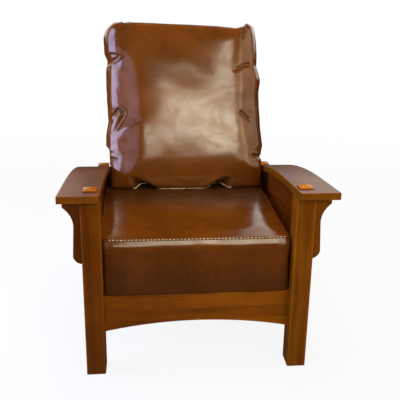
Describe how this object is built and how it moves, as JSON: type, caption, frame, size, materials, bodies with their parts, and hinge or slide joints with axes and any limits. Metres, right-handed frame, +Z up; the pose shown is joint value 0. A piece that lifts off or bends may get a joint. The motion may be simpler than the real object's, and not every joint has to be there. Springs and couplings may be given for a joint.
{
  "type": "reclining armchair",
  "caption": "Slat-sided wooden armchair with bowed arms, loose leather seat and back cushions, and a hinged back frame that leans on a movable rod to recline.",
  "frame": {"origin": "on the floor, under the middle of the chair's overall box with the back upright", "axes": "+Z up; +Y towards the back, so the chair faces -Y; +X to the right of someone facing the chair"},
  "size_m": [0.808, 0.8692, 1.0149],
  "materials": {
    "stained_wood": "satin",
    "plain_wood": "matte",
    "cushion_leather": "gloss",
    "rod_brass": "satin",
    "bolt_steel": "satin",
    "spacer_plastic": "matte"
  },
  "bodies": {
    "frame": {"arm_left": "stained_wood", "arm_right": "stained_wood", "corbel_left": "stained_wood", "corbel_right": "stained_wood", "deck_slats": "plain_wood", "front_rail": "stained_wood", "leg_front_left": "stained_wood", "leg_front_right": "stained_wood", "leg_rear_left": "stained_wood", "leg_rear_right": "stained_wood", "pivot_bolts": "bolt_steel", "pivot_spacers": "spacer_plastic", "rear_rail": "stained_wood", "rod_rack_left": "stained_wood", "rod_rack_right": "stained_wood", "seat_bearer_left": "plain_wood", "seat_bearer_right": "plain_wood", "seat_cushion": "cushion_leather", "side_bottom_rail_left": "stained_wood", "side_bottom_rail_right": "stained_wood", "side_top_rail_left": "stained_wood", "side_top_rail_right": "stained_wood", "spindle_01_left": "stained_wood", "spindle_01_right": "stained_wood", "spindle_02_left": "stained_wood", "spindle_02_right": "stained_wood", "spindle_03_left": "stained_wood", "spindle_03_right": "stained_wood", "spindle_04_left": "stained_wood", "spindle_04_right": "stained_wood", "spindle_05_left": "stained_wood", "spindle_05_right": "stained_wood", "spindle_06_left": "stained_wood", "spindle_06_right": "stained_wood", "spindle_07_left": "stained_wood", "spindle_07_right": "stained_wood", "spindle_08_left": "stained_wood", "spindle_08_right": "stained_wood", "spindle_09_left": "stained_wood", "spindle_09_right": "stained_wood", "spindle_10_left": "stained_wood", "spindle_10_right": "stained_wood", "spindle_11_left": "stained_wood", "spindle_11_right": "stained_wood", "spindle_12_left": "stained_wood", "spindle_12_right": "stained_wood", "spindle_13_left": "stained_wood", "spindle_13_right": "stained_wood", "spindle_14_left": "stained_wood", "spindle_14_right": "stained_wood", "spindle_15_left": "stained_wood", "spindle_15_right": "stained_wood"},
    "back": {"back_cushion": "cushion_leather", "back_post_left": "stained_wood", "back_post_right": "stained_wood", "back_slat_1": "stained_wood", "back_slat_2": "stained_wood", "back_slat_3": "stained_wood", "back_slat_4": "stained_wood"},
    "rod": {"support_rod": "rod_brass"}
  },
  "joints": [
    {"name": "back_recline", "type": "hinge", "parent": "frame", "child": "back", "pos_m": [0, 0.21988, 0.211], "axis": [-1, 0, 0], "range_deg": [0, 15]},
    {"name": "rod_travel", "type": "slide", "parent": "frame", "child": "rod", "axis": [0, 1, 0], "range_m": [0, 0.0628]}
  ],
  "couplings": [
    {"joint": "rod_travel", "follows": "back_recline", "m_per_rad": 0.23961}
  ]
}
